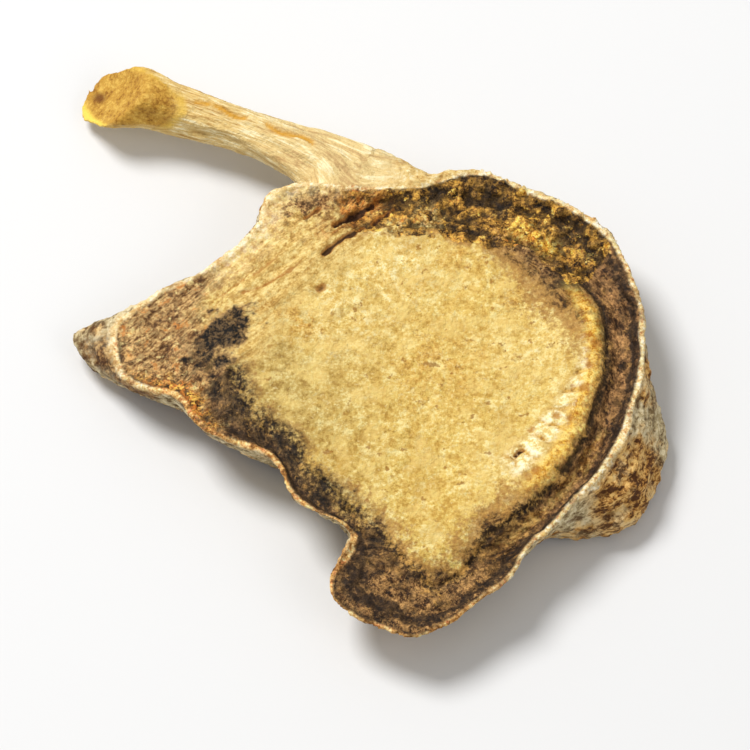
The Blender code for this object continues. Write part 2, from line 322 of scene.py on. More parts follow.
# The rim of the upper cut face, as the solid has it: a smooth line with ripples, and its height.
def rimLine(values):
    knots = [Vector((x, y, 0.0)) for x, y in values["outline"]]
    fine = []
    for i, knot in enumerate(knots):
        after, beyond = knots[(i + 1) % len(knots)], knots[(i + 2) % len(knots)]
        fine += smoothSpan(knots[i - 1], knot, after, beyond, 16)
    table = np.array([tuple(point) for point in fine + [fine[0]]])
    travelled = distanceAlong(table)
    wanted = np.linspace(0.0, travelled[-1], values["rimPoints"] + 1)[:-1]
    points = np.column_stack([np.interp(wanted, travelled, column) for column in table.T])
    size, height = values["ripple"]
    lift = height * fractal(points / size + np.array(values["rippleSeed"]), 2)
    return points * (1 + lift / np.linalg.norm(points, axis=1))[:, None]


def rimHeights(line, cadPoints, search):
    heights = []
    for place in line:
        near = np.hypot(*(cadPoints[:, :2] - place[:2]).T) < search
        heights.append(cadPoints[near, 2].max() if near.any() else np.nan)
    heights = np.array(heights)
    known = ~np.isnan(heights)
    return np.interp(np.arange(len(line)), np.flatnonzero(known), heights[known], period=len(line))


def newObject(name, data):
    made = bpy.data.objects.new(name, data)
    bpy.context.scene.collection.objects.link(made)
    return made


# The fine surface: a rounded copy of the solid on an even grid.
def readPoints(mesh):
    points = np.empty(len(mesh.vertices) * 3)
    mesh.vertices.foreach_get("co", points)
    normals = np.empty(len(mesh.vertices) * 3)
    mesh.vertex_normals.foreach_get("vector", normals)
    return points.reshape(-1, 3) * toMillimetres, normals.reshape(-1, 3)


def atTip(vert, values):
    xMost, yLeast = (corner / toMillimetres for corner in values["tipCorner"])
    return vert.co.x < xMost and vert.co.y > yLeast


def mergedCopy(node, values):
    bm = bmesh.new()
    bm.from_mesh(node.data)
    bmesh.ops.remove_doubles(bm, verts=bm.verts, dist=values["mergeDistance"] / toMillimetres)
    bmesh.ops.recalc_face_normals(bm, faces=bm.faces)
    crease = bm.edges.layers.float.new("crease_edge")
    for edge in bm.edges:
        sharp = edge.calc_face_angle(0.0) > math.radians(values["creaseAngle"])
        if sharp and all(atTip(vert, values) for vert in edge.verts):
            edge[crease] = values["creaseShare"]
    mesh = bpy.data.meshes.new("mergedSlice")
    bm.to_mesh(mesh)
    bm.free()
    return mesh


def fineSurface(merged, values):
    piece = newObject("rootSliceSurface", merged)
    rounding = piece.modifiers.new("rounding", "SUBSURF")
    rounding.levels = 1
    rounding.render_levels = 1
    grid = piece.modifiers.new("evenGrid", "REMESH")
    grid.mode = "VOXEL"
    grid.voxel_size = values["gridSize"] / toMillimetres
    evaluated = piece.evaluated_get(bpy.context.evaluated_depsgraph_get())
    mesh = bpy.data.meshes.new_from_object(evaluated)
    piece.modifiers.clear()
    bm = bmesh.new()
    bm.from_mesh(mesh)
    tipPoints = [vert for vert in bm.verts if atTip(vert, values)]
    for chosen, rounds in ((bm.verts, values["smoothing"]), (tipPoints, values["tipSmoothing"])):
        for _ in range(rounds):
            bmesh.ops.smooth_vert(bm, verts=chosen, factor=0.5, use_axis_x=True, use_axis_y=True,
                                  use_axis_z=True)
    bm.to_mesh(mesh)
    bm.free()
    piece.data = mesh
    mesh.name = "rootSliceSurface"
    return piece


# Where each point of the surface lies: on the upper or lower cut face, or how far below the rim.
def lowerFaceReach(direction, radius, onLower, count):
    width = 360 / count
    sector = ((direction + 180) / width).astype(int) % count
    reach = np.zeros(count)
    np.maximum.at(reach, sector[onLower], radius[onLower])
    reach = np.convolve(np.concatenate([reach[-2:], reach, reach[:2]]), np.ones(5) / 5, "valid")
    return np.interp(direction, np.arange(count) * width + width / 2 - 180, reach, period=360)


def faceFields(points, normals, values, cadPoints):
    x, y, z = points.T
    radius = np.hypot(x, y)
    direction = np.degrees(np.arctan2(y, x))
    line = rimLine(values)
    line[:, 2] = rimHeights(line, cadPoints, values["rimSearch"])
    dense = densified(line)
    nearest, distance = nearestOnLine(points, dense)
    inside = insideLine(points, dense)
    upper = inside * smoothStep(normals[:, 2], *cutFace["upperTilt"]) * smoothStep(z, *cutFace["upperHeight"])
    lower = smoothStep(-normals[:, 2], *cutFace["lowerTilt"]) * (1 - smoothStep(z, *cutFace["lowerHeight"]))
    lower = lower * (inside | (distance < cutFace["lowerMargin"]))
    onUpper, onLower = upper > 0.5, lower > 0.5

    coreRadius = aroundSlice(values["coreRadius"], direction)
    lowerReach = lowerFaceReach(direction, radius, onLower, cutFace["sectors"])
    mostOfCore, mostOfReach = cutFace["lowerCore"]
    lowerCore = np.minimum(coreRadius * mostOfCore, lowerReach * mostOfReach)
    below = np.maximum(dense[nearest, 2] - z, 0.0)
    lowerRim = np.maximum(lowerReach - radius, 0.0)
    rimDepth = np.where(onUpper, distance, np.where(onLower, lowerRim, -below))
    coreDepth = np.where(onLower, lowerCore, coreRadius) - radius
    outer = np.maximum(-coreDepth, 0.0)
    turn = np.radians(direction)
    return SimpleNamespace(
        direction=direction, radius=radius, lowerShare=lower, faceShare=np.maximum(upper, lower),
        rimDepth=rimDepth, coreDepth=coreDepth,
        ringPlace=np.clip(outer / np.maximum(outer + rimDepth, cutFace["thinnestRing"]), 0.0, 1.0),
        stainDepth=coreDepth - aroundSlice(values["stainInset"], direction),
        polarPlace=np.column_stack([np.cos(turn), np.sin(turn), radius]),
    )


def upperOnly(fields):
    return fields.faceShare * (1 - fields.lowerShare)


# The side root's middle line with its half sizes, the distance along it and the way it runs.
def sideRootLine(values):
    knots = [Vector(values["bandStart"][:3])] + [Vector(knot[:3]) for knot in values["line"]]
    halves = [values["bandStart"][3:]] + [knot[3:] for knot in values["line"]]
    steps = values["lineSteps"]
    fine, sizes = [], []
    for i in range(len(knots) - 1):
        before, beyond = knots[max(i - 1, 0)], knots[min(i + 2, len(knots) - 1)]
        fine += [tuple(place) for place in smoothSpan(before, knots[i], knots[i + 1], beyond, steps + 1)]
        first, last = np.array(halves[i]), np.array(halves[i + 1])
        sizes += [first * (1 - k / steps) + last * k / steps for k in range(steps)]
    line = np.array(fine)
    ahead = np.gradient(line, axis=0)
    ahead[:, 2] = 0.0
    ahead /= np.linalg.norm(ahead, axis=1)[:, None]
    return line, np.array(sizes), distanceAlong(line), ahead


def sideways(offset, ahead):
    return offset[:, 1] * ahead[..., 0] - offset[:, 0] * ahead[..., 1]


def sideRootFields(points, fields, values):
    line, sizes, travelled, ahead = sideRootLine(values)
    tree = searchTree(line.tolist())
    index = np.array([tree.find(point)[1] for point in points.tolist()])
    offset = points - line[index]
    across = sideways(offset, ahead[index]) / sizes[index, 0]
    up = offset[:, 2] / sizes[index, 1]
    spoke = np.hypot(across, up)
    along = travelled[index] + (offset * ahead[index]).sum(axis=1)
    onRoot = (1 - smoothStep(spoke, *values["reach"])) * smoothStep(along, *values["start"])
    fields.sideRootShare = onRoot * (1 - fields.faceShare * (fields.rimDepth > 0))
    band = (1 - smoothStep(spoke, *values["bandReach"])) * between(along, *values["bandLength"])
    fields.bandShare = band * (1 - smoothStep(fields.rimDepth, *values["bandRim"]))

    around = np.arctan2(up, across)
    fields.sideRootPlace = np.column_stack([along, np.cos(around), np.sin(around)])
    swing, pace = values["dashWave"]
    waved = np.degrees(around) + swing * np.sin(along * pace)
    beside = hump(waved, values["dashDirection"], values["dashWidth"])
    dashes = sum(between(points[:, 0], low, high, values["dashEnds"]) for low, high in values["dashes"])
    fields.dashShare = fields.sideRootShare * dashes * smoothStep(beside, *values["dashEdge"])
    end = line[-1] + (line[-1] - line[-2])
    tipFields(points, fields, values, end, sizes[-1], ahead[-1], up, spoke)


# The side root's slanted end, its oval top with a dark spot, and the stretch that gives its length.
def tipFields(points, fields, values, end, halfSizes, ahead, up, spoke):
    reach = (points - end) @ ahead
    down = -(points[:, 2] - end[2]) / halfSizes[1]
    edge = np.clip(np.hypot(sideways(points - end, ahead) / halfSizes[0], down), 0.0, 1.0)
    depth = reach - values["cutSlant"] * down + values["cutDish"] * (1 - edge ** 2)
    cut = smoothStep(depth, *values["cutEdge"]) * (fields.sideRootShare > 0.3)
    slanted = np.column_stack([points[:, 0], points[:, 1] + values["tipLean"] * points[:, 2]])
    oval = ovalReach(slanted, *values["tipOval"])
    ovalTop = 1 - smoothStep(oval + ragged(points, 0.15, 0.9, 26.0), *values["tipOvalEdge"])
    ovalTop = ovalTop * smoothStep(up, *values["tipOvalHeight"])
    fields.tipShare = np.maximum(cut, ovalTop * fields.sideRootShare)
    fields.tipEdge = np.clip(oval, 0.0, 1.0)
    spot = np.linalg.norm(slanted - np.array(values["tipSpot"]), axis=1)
    fields.tipSpotShare = fields.tipShare * (1 - smoothStep(spot, *values["tipSpotEdge"]))
    before, full, stretch = values["tipStretch"]
    share = smoothStep(reach, -before, full) * (spoke < values["tipReach"])
    fields.tipShift = share[:, None] * stretch * ahead


def combFields(points, fields, values):
    direction = fields.direction
    halfWidth = aroundSlice(values["halfWidth"], direction)
    place = hump(fields.radius - aroundSlice(values["radius"], direction), 0, halfWidth)
    window = acrossZero(direction, *values["directions"])
    stroke = 2 * math.pi * np.radians(direction) * values["spacingRadius"] / values["spacing"]
    teeth = 0.5 + 0.5 * np.cos(stroke + ragged(points, 2.2, 1.3, 21.0, 2))
    teeth = teeth + ragged(points, 0.35, 1.0, 29.0, 2)
    fields.lipShare = upperOnly(fields) * window * smoothStep(place, *values["lipEdge"])
    fields.combShare = fields.lipShare * smoothStep(teeth, *values["strokeEdge"])


def within(region, directions):
    return between(directions, *regions[region])


def past(limit, value):
    return smoothStep(value, *regions[limit])


def regionFields(points, fields):
    upper, bark = upperOnly(fields), 1 - fields.faceShare
    direction, outside = fields.direction, -fields.coreDepth
    turned = (direction + ragged(points, 8, 3.0, 4.0, 2)) % 360
    fields.streakShare = upper * within("streak", turned) * past("streakRadius", fields.radius)
    crumbReach = past("crumbReach", outside + ragged(points, 1.1, 0.9, 27.0))
    fields.crumbShare = upper * within("crumb", turned) * crumbReach
    gold = hump(fields.coreDepth, *regions["goldPlace"]) * acrossZero(direction, *regions["gold"])
    fields.goldShare = upper * gold
    fields.shadeShare = upper * within("shade", turned) * past("shadeReach", outside)
    fields.frontShare = upper * within("front", turned)
    fields.grooveShare = upper * within("groove", turned)
    fields.softShare = np.maximum(fields.frontShare, upper * acrossZero(turned, *regions["stained"]))
    right = np.maximum(within("rightFront", turned), within("rightBack", turned))
    fields.rightShare = upper * right * past("rightReach", outside)

    fields.tailShare = upper * past("tailStart", -points[:, 0] + ragged(points, 1.1, 1.6, 23.0))
    low = fields.rimDepth + ragged(points, 0.9, 0.9, 25.0)
    tailShade = fields.tailShare * (1 - past("tailRim", low))
    fields.tailShade = tailShade * past("tailFront", -points[:, 1])
    blotch = ovalReach(points[:, :2], *regions["blotch"]) + ragged(points, 1.3, 1.1, 24.0, 4)
    fields.blotchShare = upper * (1 - past("blotchEdge", blotch))
    fields.lobeShare = upper * past("lobeStart", -points[:, 1])
    for name, places in spots.items():
        share = sum(hump(np.hypot(points[:, 0] - x, points[:, 1] - y), 0, reach) for x, y, reach in places)
        setattr(fields, name + "Share", upper * np.clip(share, 0, 1))

    fields.knobShare = bark * acrossZero(direction, *regions["knob"])
    fields.endBarkShare = bark * (past("endLeft", -points[:, 0]) * past("endFront", -points[:, 1]))


def crackField(points, fields):
    share = np.zeros(len(points))
    depth = np.zeros(len(points))
    edges = ragged(points, 0.12, 0.5, 9.0)
    for line, halfWidth, deep in fissures:
        for (x0, y0), (x1, y1) in zip(line, line[1:]):
            run = np.array([x1 - x0, y1 - y0])
            offset = points[:, :2] - np.array([x0, y0])
            place = np.clip(offset @ run / (run @ run), 0, 1)
            distance = np.linalg.norm(offset - place[:, None] * run, axis=1) + edges
            here = 1 - smoothStep(distance, 0.3 * halfWidth, 1.5 * halfWidth)
            share = np.maximum(share, here * min(1.0, deep / darkFissureDepth))
            depth = np.maximum(depth, here * deep)
    upper = upperOnly(fields)
    fields.crackShare = share * upper
    return depth * upper


# Relief that drying and cutting left, in millimetres along the surface's own direction.
def crumbRelief(points, share, values):
    relief = np.zeros(len(points))
    for i in np.flatnonzero(share > 0.02).tolist():
        distances, places = noise.voronoi((points[i] / values["crumbSize"]).tolist())
        lift = 0.4 + 0.6 * noise.cell(places[0] * 7.3)
        gap = min(1.0, (distances[1] - distances[0]) / values["crumbGap"])
        relief[i] = share[i] * values["crumbHeight"] * (gap * lift - values["crumbBed"])
    return relief


def faceRelief(points, fields, values):
    cut, polar = fields.faceShare, fields.polarPlace
    core = cut * smoothStep(fields.coreDepth, -0.4, 0.6)
    ring = cut * (1 - smoothStep(fields.coreDepth, -0.6, 0.2))
    ring = ring * (1 - values["ringInStreak"] * fields.streakShare)
    relief = grained(core, points, values["coreGrain"], 4, 1.0)
    relief += grained(core, points, values["coreWave"], 3, 2.0)
    relief += core * values["coreSpokes"] * fractal(polar * (9.0, 9.0, 0.35), 3, 3.0)
    relief += values["combHeight"] * (fields.combShare - values["combBed"] * fields.lipShare)
    relief += values["goldHeight"] * fields.goldShare
    relief -= values["pitDepth"] * fields.pitShare
    relief += ring * values["ringWrinkle"] * fractal(polar * (5.0, 5.0, 1.9), 4, 6.0)
    relief += grained(ring, points, values["ringGrain"], 3, 7.0)
    wander = fields.ringPlace + ragged(points, 0.06, 2.0, 22.0, 2)
    for middle, halfWidth, depth in values["ringLines"]:
        relief -= ring * depth * hump(wander, middle, halfWidth)

    along, beside = turnedPlace(points, values["fibreDirection"])
    length, width, thickness = values["fibreSize"]
    fibres = fractal(np.column_stack([along / length, beside / width, points[:, 2] / thickness]), 4, 8.0)
    relief += np.maximum(fields.streakShare, fields.tailShare) * values["fibreHeight"] * fibres
    relief += crumbRelief(points, fields.crumbShare, values)
    relief -= crackField(points, fields)

    rim = cut * (1 - smoothStep(fields.rimDepth, 0.0, values["rimWidth"])) * (fields.rimDepth >= 0)
    size, height = values["rimFray"]
    arc = polar[:, :2] * values["rimRadius"]
    fray = fractal(np.column_stack([arc / size, points[:, 2] * 0]), 3, 11.0)
    relief += rim * height * (fray + 0.6) * (1 - fields.lowerShare)
    return relief


def addBarkRelief(relief, points, fields, values):
    bark = (1 - fields.faceShare) * (1 - fields.sideRootShare)
    length, rise, height = values["barkWrinkle"]
    arc = fields.polarPlace[:, :2] * values["rimRadius"]
    wrinkled = fractal(np.column_stack([arc / length, points[:, 2] / rise]), 4, 12.0)
    relief += bark * height * wrinkled
    relief += grained(bark, points, values["barkGrain"], 3, 13.0)
    knob = bark * acrossZero(fields.direction, *values["knobDirections"])
    relief += knob * values["knobWrinkle"] * ridges(points / (1.5, 1.5, 0.8), 14.0)


def addSideRootRelief(relief, points, fields, values):
    place = fields.sideRootPlace * (1 / 2.8, 2.2, 2.2)
    furrows = fractal(place, 3, 15.0) + 0.5 * fractal(place * (2.0, 2.6, 2.6), 3, 16.0)
    barkRoot = fields.sideRootShare * (1 - fields.tipShare)
    relief += barkRoot * values["sideRootFurrow"] * furrows
    relief -= values["dashDepth"] * fields.dashShare + values["tipSpotDepth"] * fields.tipSpotShare
    relief += grained(fields.tipShare, points, values["tipWrinkle"], 3, 17.0)


# Fields that only the shape needs; all the others are stored on the surface for the finish.
shapeOnly = ("direction", "radius", "lowerShare", "tipShift")


def storeField(mesh, name, values):
    isVector = values.ndim == 2
    field = mesh.attributes.new(name, "FLOAT_VECTOR" if isVector else "FLOAT", "POINT")
    field.data.foreach_set("vector" if isVector else "value", values.ravel().astype(np.float32))


def makeSlice(node):
    merged = mergedCopy(node, sliceShape)
    cadPoints = readPoints(merged)[0]
    piece = fineSurface(merged, sliceShape)
    mesh = piece.data
    points, normals = readPoints(mesh)
    fields = faceFields(points, normals, sliceShape, cadPoints)
    sideRootFields(points, fields, sideRoot)
    combFields(points, fields, comb)
    regionFields(points, fields)
    relief = faceRelief(points, fields, reliefShape)
    addBarkRelief(relief, points, fields, reliefShape)
    addSideRootRelief(relief, points, fields, reliefShape)
    fields.relief = relief
    moved = points + normals * relief[:, None] + fields.tipShift
    above = np.maximum(moved[:, 2] - cadPoints[:, 2].max(), 0.0)
    moved[:, 2] = np.maximum(moved[:, 2] - above * (1 - reliefShape["aboveTop"]), 0.0)
    mesh.vertices.foreach_set("co", (moved / toMillimetres).ravel())
    for name, values in vars(fields).items():
        if name not in shapeOnly:
            storeField(mesh, name, values)
    mesh.shade_smooth()
    mesh.update()
    print("slice surface:", len(mesh.vertices), "points,", len(mesh.polygons), "faces")
    return piece


# Linear colour of a tint given as it looks on a screen, from 0 to 255.
def srgb(red, green, blue):
    linear = [c / 255 / 12.92 if c <= 10 else ((c / 255 + 0.055) / 1.055) ** 2.4 for c in (red, green, blue)]
    return (*linear, 1.0)


# Adds nodes to one tree and links values, colours or sockets into them.
class nodeMaker:
    def __init__(self, tree):
        self.tree = tree

    def feed(self, socket, value):
        if isinstance(value, bpy.types.NodeSocket):
            self.tree.links.new(value, socket)
        elif value is not None:
            socket.default_value = value

    def add(self, kind, sockets=(), *values, **settings):
        node = self.tree.nodes.new(kind)
        for name, value in settings.items():
            setattr(node, name, value)
        for socket, value in zip(sockets, values):
            self.feed(node.inputs[socket], value)
        return node

    def field(self, name, output="Fac"):
        return self.add("ShaderNodeAttribute", attribute_name=name).outputs[output]

    def sum(self, operation, first, second=None, third=None):
        return self.add("ShaderNodeMath", (0, 1, 2), first, second, third, operation=operation).outputs[0]

    def times(self, first, second):
        return self.sum("MULTIPLY", first, second)

    def scaled(self, value, factor, more):
        return self.sum("MULTIPLY_ADD", value, factor, more)

    def shifted(self, value, by, amount, *more):  # a value moved up and down by one or more noises
        moved = self.scaled(self.sum("SUBTRACT", by, 0.5), amount, value)
        return self.shifted(moved, *more) if more else moved

    def step(self, value, low, high, fromValue=0.0, toValue=1.0):
        values = value, low, high, fromValue, toValue
        return self.add("ShaderNodeMapRange", range(5), *values, interpolation_type="SMOOTHSTEP").outputs[0]

    def stripe(self, value, low, lowFull, highFull, high):  # 1 in the middle, 0 beyond both ends
        return self.times(self.step(value, low, lowFull), self.step(value, high, highFull))

    def turned(self, vector, sizes, degrees=0.0):
        turn = (0.0, 0.0, math.radians(degrees))
        sockets = "Vector", "Scale", "Rotation"
        return self.add("ShaderNodeMapping", sockets, vector, sizes, turn, vector_type="TEXTURE").outputs[0]

    def noise(self, vector, scale, detail=3.0, roughness=0.6):
        sockets = "Vector", "Scale", "Detail", "Roughness"
        return self.add("ShaderNodeTexNoise", sockets, vector, scale, detail, roughness).outputs["Fac"]

    def mix(self, share, first, second, blend="MIX"):
        node = self.add("ShaderNodeMix", (0, 6, 7), share, first, second, data_type="RGBA", blend_type=blend)
        return node.outputs[2]


# A mottled tint: dark pores and pale grains around a middle colour, on any coordinates.
mottle = {"coarse": (6.0, 0.68), "fine": (3.0, 0.6), "fineScale": 3.7, "fineShare": 0.55, "halfSpan": 0.15}


def mottledTintGroup():
    tree = bpy.data.node_groups.new("mottledTint", "ShaderNodeTree")
    kinds = {"place": "Vector", "scale": "Float", "dark": "Color", "middle": "Color", "pale": "Color",
             "contrast": "Float"}
    for name, kind in kinds.items():
        tree.interface.new_socket(name, in_out="INPUT", socket_type="NodeSocket" + kind)
    tree.interface.new_socket("colour", in_out="OUTPUT", socket_type="NodeSocketColor")
    n = nodeMaker(tree)
    given = tree.nodes.new("NodeGroupInput").outputs
    put = tree.nodes.new("NodeGroupOutput").inputs
    coarse = n.noise(given["place"], given["scale"], *mottle["coarse"])
    fine = n.noise(given["place"], n.times(given["scale"], mottle["fineScale"]), *mottle["fine"])
    value = n.shifted(coarse, fine, mottle["fineShare"])
    halfSpan = n.sum("DIVIDE", mottle["halfSpan"], given["contrast"])
    low = n.sum("SUBTRACT", 0.505, halfSpan)
    high = n.sum("ADD", 0.495, halfSpan)
    colour = n.mix(n.step(value, low, 0.505), given["dark"], given["middle"])
    colour = n.mix(n.step(value, 0.495, high), colour, given["pale"])
    n.feed(put["colour"], colour)
    return tree


# Dark, middle and pale colour of each mottled tint.
tints = {
    "core": ((190, 148, 65), (221, 187, 99), (243, 224, 153)),
    "coreLeft": ((152, 119, 55), (187, 157, 86), (216, 196, 128)),
    "coreUpper": ((200, 160, 76), (233, 203, 122), (249, 236, 178)),
    "ochre": ((150, 98, 32), (204, 156, 70), (230, 192, 108)),
    "comb": ((226, 194, 116), (248, 234, 172), (255, 250, 216)),
    "combGap": ((126, 76, 22), (192, 140, 56), (226, 186, 98)),
    "gold": ((172, 106, 24), (236, 184, 68), (252, 224, 130)),
    "ring": ((48, 31, 13), (110, 76, 38), (170, 128, 70)),
    "ringMauve": ((56, 36, 20), (120, 84, 49), (182, 136, 84)),
    "ringShade": ((18, 13, 8), (45, 32, 18), (90, 69, 41)),
    "ink": ((16, 13, 10), (43, 34, 24), (96, 75, 49)),
    "crumb": ((36, 23, 9), (144, 98, 37), (238, 180, 80)),
    "fibre": ((168, 124, 56), (216, 180, 102), (243, 220, 148)),
    "tail": ((80, 51, 27), (154, 112, 64), (220, 184, 122)),
    "mauve": ((74, 48, 28), (134, 97, 58), (186, 146, 90)),
    "lobe": ((42, 26, 13), (104, 70, 37), (184, 140, 84)),
    "rim": ((206, 166, 104), (240, 214, 156), (255, 243, 208)),
    "rimOrange": ((160, 106, 50), (220, 168, 98), (250, 216, 150)),
    "bark": ((120, 98, 64), (192, 172, 128), (228, 212, 172)),
    "knob": ((86, 50, 20), (182, 130, 64), (232, 188, 112)),
    "sideRoot": ((182, 136, 70), (222, 190, 120), (250, 236, 190)),
    "tip": ((150, 101, 30), (194, 146, 58), (220, 178, 84)),
}
tints = {name: [srgb(*tint) for tint in row] for name, row in tints.items()}

# What else a user would change in the finish: plain tints, sizes of grain, and shine.
finish = {
    "cambium": srgb(40, 29, 20),
    "crack": srgb(52, 28, 12),
    "halo": srgb(164, 104, 40),
    "pit": srgb(172, 110, 40),
    "warm": srgb(180, 130, 66),
    "dash": srgb(206, 150, 44),
    "orange": srgb(200, 122, 48),
    "yellow": srgb(250, 214, 92),
    "spot": srgb(110, 62, 20),
    # Noises that all parts share: waves per metre, layers and roughness.
    "speck": (3400, 3.0, 0.7),
    "grain": (2300, 4.0, 0.62),
    "spotted": (1400, 3.0, 0.6),
    "blot": (800, 4.0, 0.62),
    "cloud": (330, 4.0, 0.6),
    # Size of one wave: across the spokes and out, round the ring and out, along and across the fibres.
    "spokeSize": (0.085, 0.085, 1.6),
    "ringSize": (0.14, 0.14, 0.55),
    "fibreSize": (0.0016, 0.00034, 0.0007),
    "sideRootSize": (2.6, 0.22, 0.22),
    "barkSize": (0.0010, 0.0010, 0.00045),
    "roughness": (0.55, 0.75),
    "specular": 0.18,
    "bump": (0.75, 0.00020),  # strength and height
}


# The nodes of the slice's finish, with the places and the noises that its parts share.
class rootNodes(nodeMaker):
    def __init__(self, tree):
        super().__init__(tree)
        self.mottled = mottledTintGroup()
        self.place = self.add("ShaderNodeTexCoord").outputs["Object"]
        split = self.add("ShaderNodeSeparateXYZ", (0,), self.place)
        self.x, self.y = split.outputs[:2]
        for name in ("speck", "grain", "spotted", "blot", "cloud"):
            setattr(self, name, self.noise(self.place, *finish[name]))
        polar = self.field("polarPlace", "Vector")
        self.ringed = self.turned(polar, finish["ringSize"])
        self.fibred = self.turned(self.place, finish["fibreSize"], reliefShape["fibreDirection"])
        self.spokes = self.noise(self.turned(polar, finish["spokeSize"]), 1.0, 4.0, 0.6)
        self.patches = self.shifted(self.blot, self.grain, 0.8)
        self.shaded = self.field("shadeShare")
        self.rimDepth = self.shifted(self.field("rimDepth"), self.blot, 0.35, self.grain, 0.14)

    def tint(self, name, scale, contrast, where=None):
        sockets = "place", "scale", "contrast", "dark", "middle", "pale"
        values = where or self.place, scale, contrast, *tints[name]
        return self.add("ShaderNodeGroup", sockets, *values, node_tree=self.mottled).outputs["colour"]

    def half(self, first, second):
        return self.mix(0.5, first, second)

    def flecked(self, base, pattern, low, high, share, tint):
        return self.mix(self.step(pattern, low, high, 0.0, share), base, tint)

    def spread(self, name, pattern, low, high, fromValue=0.0, toValue=1.0):  # a field broken up by a pattern
        return self.times(self.field(name), self.step(pattern, low, high, fromValue, toValue))


# A tint's numbers are its scale (waves per metre, or 1.0 on a stretched place) and contrast. A pattern's
# say where it starts, where it is full and how strong. Places are in metres, depths in millimetres.
def coreTint(n):
    dark, middle, pale = tints["core"][0], tints["coreUpper"][1], tints["coreUpper"][2]
    core = n.mix(n.step(n.x, -0.009, 0.002), n.tint("coreLeft", 1350, 0.9), n.tint("core", 1350, 0.9))
    paleShare = n.spread("paleShare", n.shifted(n.cloud, n.blot, 0.6), 0.34, 0.56, 0.25, 1.0)
    core = n.mix(paleShare, core, n.tint("coreUpper", 1700, 1.0))
    ochreShare = n.spread("ochreShare", n.patches, 0.44, 0.58, 0.0, 0.85)
    core = n.mix(ochreShare, core, n.tint("ochre", 1700, 1.0))
    core = n.flecked(core, n.spokes, 0.54, 0.70, 0.42, dark)
    core = n.flecked(core, n.cloud, 0.51, 0.64, 0.42, dark)
    core = n.flecked(core, n.noise(n.place, 620, 3.0, 0.5), 0.50, 0.66, 0.55, middle)
    core = n.flecked(core, n.noise(n.place, 4600, 2.0, 0.5), 0.60, 0.70, 0.18, dark)
    core = n.flecked(core, n.noise(n.place, 4100, 2.0, 0.5), 0.60, 0.72, 0.28, pale)
    core = n.flecked(core, n.spotted, 0.63, 0.71, 0.75, tints["ochre"][0])
    core = n.mix(n.times(n.field("lipShare"), 0.85), core, n.tint("combGap", 1500, 1.2))
    return n.mix(n.spread("combShare", n.blot, 0.30, 0.46, 0.5, 1.0), core, n.tint("comb", 1500, 1.3))


# The dark ring with its two thin lines, and the tan stretch between them at the lower right.
def ringTint(n):
    ringPlace = n.shifted(n.field("ringPlace"), n.blot, 0.35, n.grain, 0.25)
    mauve = n.half(n.tint("ringMauve", 1.0, 1.5, n.ringed), n.tint("ringMauve", 1300, 2.0))
    ring = n.mix(n.field("rightShare"), n.tint("ring", 1.0, 1.3, n.ringed), mauve)
    ink = n.half(n.tint("ringShade", 1.0, 1.5, n.ringed), n.tint("ink", 1300, 2.0))
    shade = n.flecked(ink, n.shifted(ringPlace, n.blot, 0.5), 0.45, 0.85, 0.85, mauve)
    ring = n.mix(n.times(n.shaded, n.step(n.cloud, 0.3, 0.6, 1.0, 0.8)), ring, shade)
    lobe = n.half(n.tint("lobe", 1300, 1.7), n.tint("lobe", 2900, 1.9))
    ring = n.mix(n.field("lobeShare"), ring, lobe)
    ring = n.flecked(ring, n.noise(n.place, 1700), 0.56, 0.66, 0.8, tints["ringShade"][0])
    ring = n.flecked(ring, n.noise(n.place, 1900), 0.58, 0.68, 0.7, tints["ring"][2])
    tanShare = n.times(n.stripe(ringPlace, 0.24, 0.34, 0.48, 0.58), n.field("grooveShare"))
    tanShare = n.times(tanShare, n.step(n.grain, 0.36, 0.50, 0.2, 0.9))
    tan = n.half(n.tint("ochre", 1.0, 2.0, n.ringed), n.tint("mauve", 1300, 1.9))
    ring = n.mix(n.times(tanShare, 0.8), ring, tan)
    inner = n.stripe(ringPlace, -0.02, 0.04, 0.14, 0.24)
    outer = n.stripe(ringPlace, 0.60, 0.68, 0.80, 0.88)
    broken = n.step(n.shifted(n.blot, n.grain, 0.6), 0.34, 0.46, 0.3, 1.0)
    lines = n.times(n.sum("MAXIMUM", inner, outer), broken)
    return n.mix(n.times(lines, 0.85), ring, finish["cambium"])


# How far the dark ring is mixed over the core: its edge dissolves in the front and where it is stained.
def ringShare(n):
    front, soft = n.field("frontShare"), n.field("softShare")
    dissolve = n.sum("MAXIMUM", soft, n.shaded)
    depth = n.shifted(n.field("stainDepth"), n.cloud, 2.8, n.blot, 1.8)
    depth = n.shifted(depth, n.grain, 0.8, n.spokes, n.times(front, 3.2))
    depth = n.shifted(depth, n.speck, n.scaled(dissolve, 3.0, 0.6))
    return n.step(depth, n.scaled(dissolve, 1.0, 0.5), n.scaled(dissolve, -0.6, -0.4))


